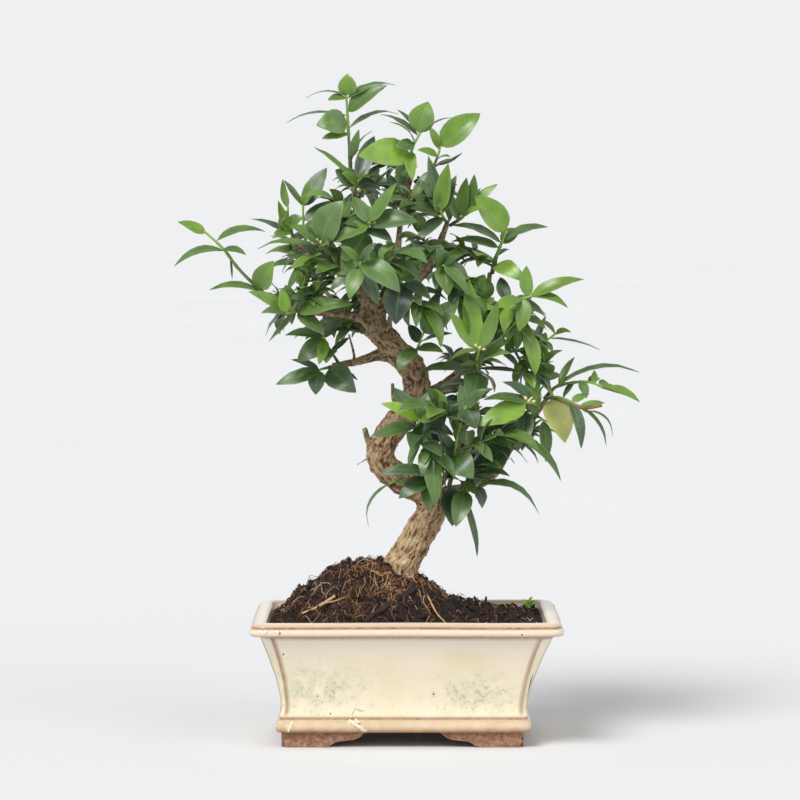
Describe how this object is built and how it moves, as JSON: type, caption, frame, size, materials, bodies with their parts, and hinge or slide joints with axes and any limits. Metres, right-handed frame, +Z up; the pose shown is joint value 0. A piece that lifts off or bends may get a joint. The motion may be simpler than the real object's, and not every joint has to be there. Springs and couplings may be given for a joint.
{
  "type": "myrtle-leaf orange bonsai",
  "caption": "Myrtle-leaf orange grown as a bonsai, with a curved trunk and small pointed leaves, in a cream glazed rectangular pot.",
  "frame": {"origin": "middle of the footprint, on the surface that the pot stands on", "axes": "+Z up, +X to the right along the pot's long side, -Y towards the front of the tree"},
  "size_m": [0.3001, 0.1736, 0.4309],
  "materials": {
    "glazed_stoneware": "cream glaze, glossy, thin and orange-tan at the edges",
    "peat_soil": "moist fibrous peat",
    "bark": "finely ridged bark, grey-green in places",
    "leaf": "waxy leaf, glossy above and matt below",
    "root_wood": "rough dry root",
    "plastic_mesh": "moulded mesh"
  },
  "bodies": {
    "root": {"bend_front": "leaf", "bend_left": "leaf", "centre_front": "leaf", "centre_low": "leaf", "crown_front": "leaf", "crown_right": "leaf", "drain_mesh_left": "plastic_mesh", "drain_mesh_right": "plastic_mesh", "dry_twig": "root_wood", "far_left_tip": "leaf", "fork_front": "leaf", "fork_high": "leaf", "fork_right": "leaf", "inner_right": "leaf", "left_front": "leaf", "left_mid": "leaf", "left_up_a": "leaf", "left_up_b": "leaf", "low_left_a": "leaf", "low_left_b": "leaf", "pale_root": "root_wood", "pot": "glazed_stoneware", "rear_crown": "leaf", "rear_crown_low": "leaf", "rear_far_left": "leaf", "rear_leader": "leaf", "rear_left": "leaf", "rear_left_inner": "leaf", "rear_left_low": "leaf", "rear_low": "leaf", "rear_low_front": "leaf", "rear_lower_right": "leaf", "rear_middle_right": "leaf", "rear_right": "leaf", "rear_right_low": "leaf", "rear_shoulder": "leaf", "rear_top": "leaf", "rear_upper_left": "leaf", "rear_upper_right": "leaf", "right_droop": "leaf", "right_high": "leaf", "right_hub": "leaf", "right_hub_left": "leaf", "right_mid": "leaf", "right_shoulder": "leaf", "right_tip": "leaf", "right_under": "leaf", "riser": "leaf", "root_stub": "root_wood", "rosette": "leaf", "seedling": "leaf", "soil": "peat_soil", "surface_root": "root_wood", "top_foot": "leaf", "top_tip": "leaf", "trunk": "bark", "under_right": "leaf", "upright_left": "leaf", "upright_right": "leaf"}
  },
  "joints": []
}
